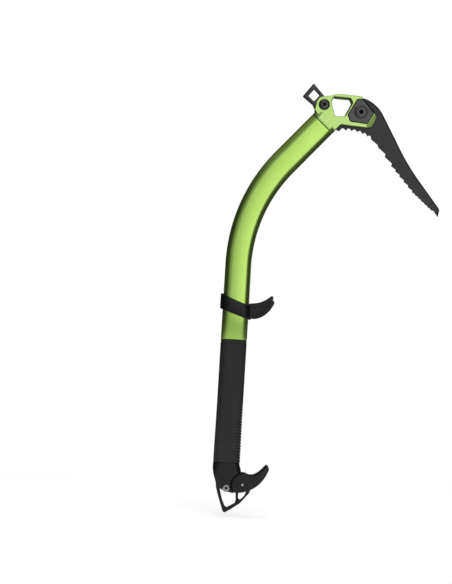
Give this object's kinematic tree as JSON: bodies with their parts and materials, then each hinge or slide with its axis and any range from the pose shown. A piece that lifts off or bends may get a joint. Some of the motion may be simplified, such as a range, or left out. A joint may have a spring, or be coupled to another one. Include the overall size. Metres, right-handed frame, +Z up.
{
  "type": "ice axe",
  "caption": "Technical ice axe with a bent oval shaft, toothed pick, small hammer, sliding finger rest, rubber grip and a folding hand rest at the spike.",
  "frame": {"origin": "middle of the hand grip, on the shaft's centreline", "axes": "+Z up along the grip towards the head, +X forward to the side the pick is on, +Y to the side of the nuts"},
  "size_m": [0.2449, 0.0302, 0.4974],
  "materials": {
    "green_paint": "metallic flake paint, satin gloss, on an aluminium tube",
    "green_head": "metallic paint on a forged head, edges chamfered",
    "dark_steel": "satin dark grey coated steel with fine ground lines on the bevels",
    "black_steel": "black coated steel, satin",
    "grey_steel": "mid grey, fine blasted grain",
    "bright_steel": "bright turned steel",
    "grip_rubber": "matt rubber with a fine grain and finger ribs on the front",
    "black_plastic": "moulded black plastic, fine spark texture, slightly shiny edges"
  },
  "bodies": {
    "axe": {"shaft_tube": "green_paint", "head": "green_head", "pick": "dark_steel", "side_plate_left": "grey_steel", "side_plate_right": "grey_steel", "pick_bolt": "grey_steel", "pick_nut": "grey_steel", "hammer": "black_steel", "hammer_bolt": "grey_steel", "hammer_nut": "grey_steel", "grip_sleeve": "grip_rubber", "spike": "black_steel", "spike_plug": "black_plastic", "spike_rivet": "grey_steel"},
    "finger_rest_body": {"finger_rest": "black_plastic", "finger_rest_pad": "grip_rubber"},
    "pommel": {"pommel_sleeve": "black_plastic", "hand_rest_pin": "bright_steel", "clamp_screw": "bright_steel", "clamp_nut": "grey_steel"},
    "hand_rest_body": {"hand_rest": "black_plastic"}
  },
  "joints": [
    {"name": "finger_rest_slide", "type": "slide", "parent": "axe", "child": "finger_rest_body", "axis": [0, 0, 1], "range_m": [-0.021, 0.031]},
    {"name": "pommel_slide", "type": "slide", "parent": "axe", "child": "pommel", "axis": [0, 0, -1], "range_m": [0, 0.009]},
    {"name": "hand_rest_turn", "type": "hinge", "parent": "pommel", "child": "hand_rest_body", "pos_m": [0.0197, 0, -0.0957], "axis": [0, 1, 0], "range_deg": [0, 50]}
  ]
}
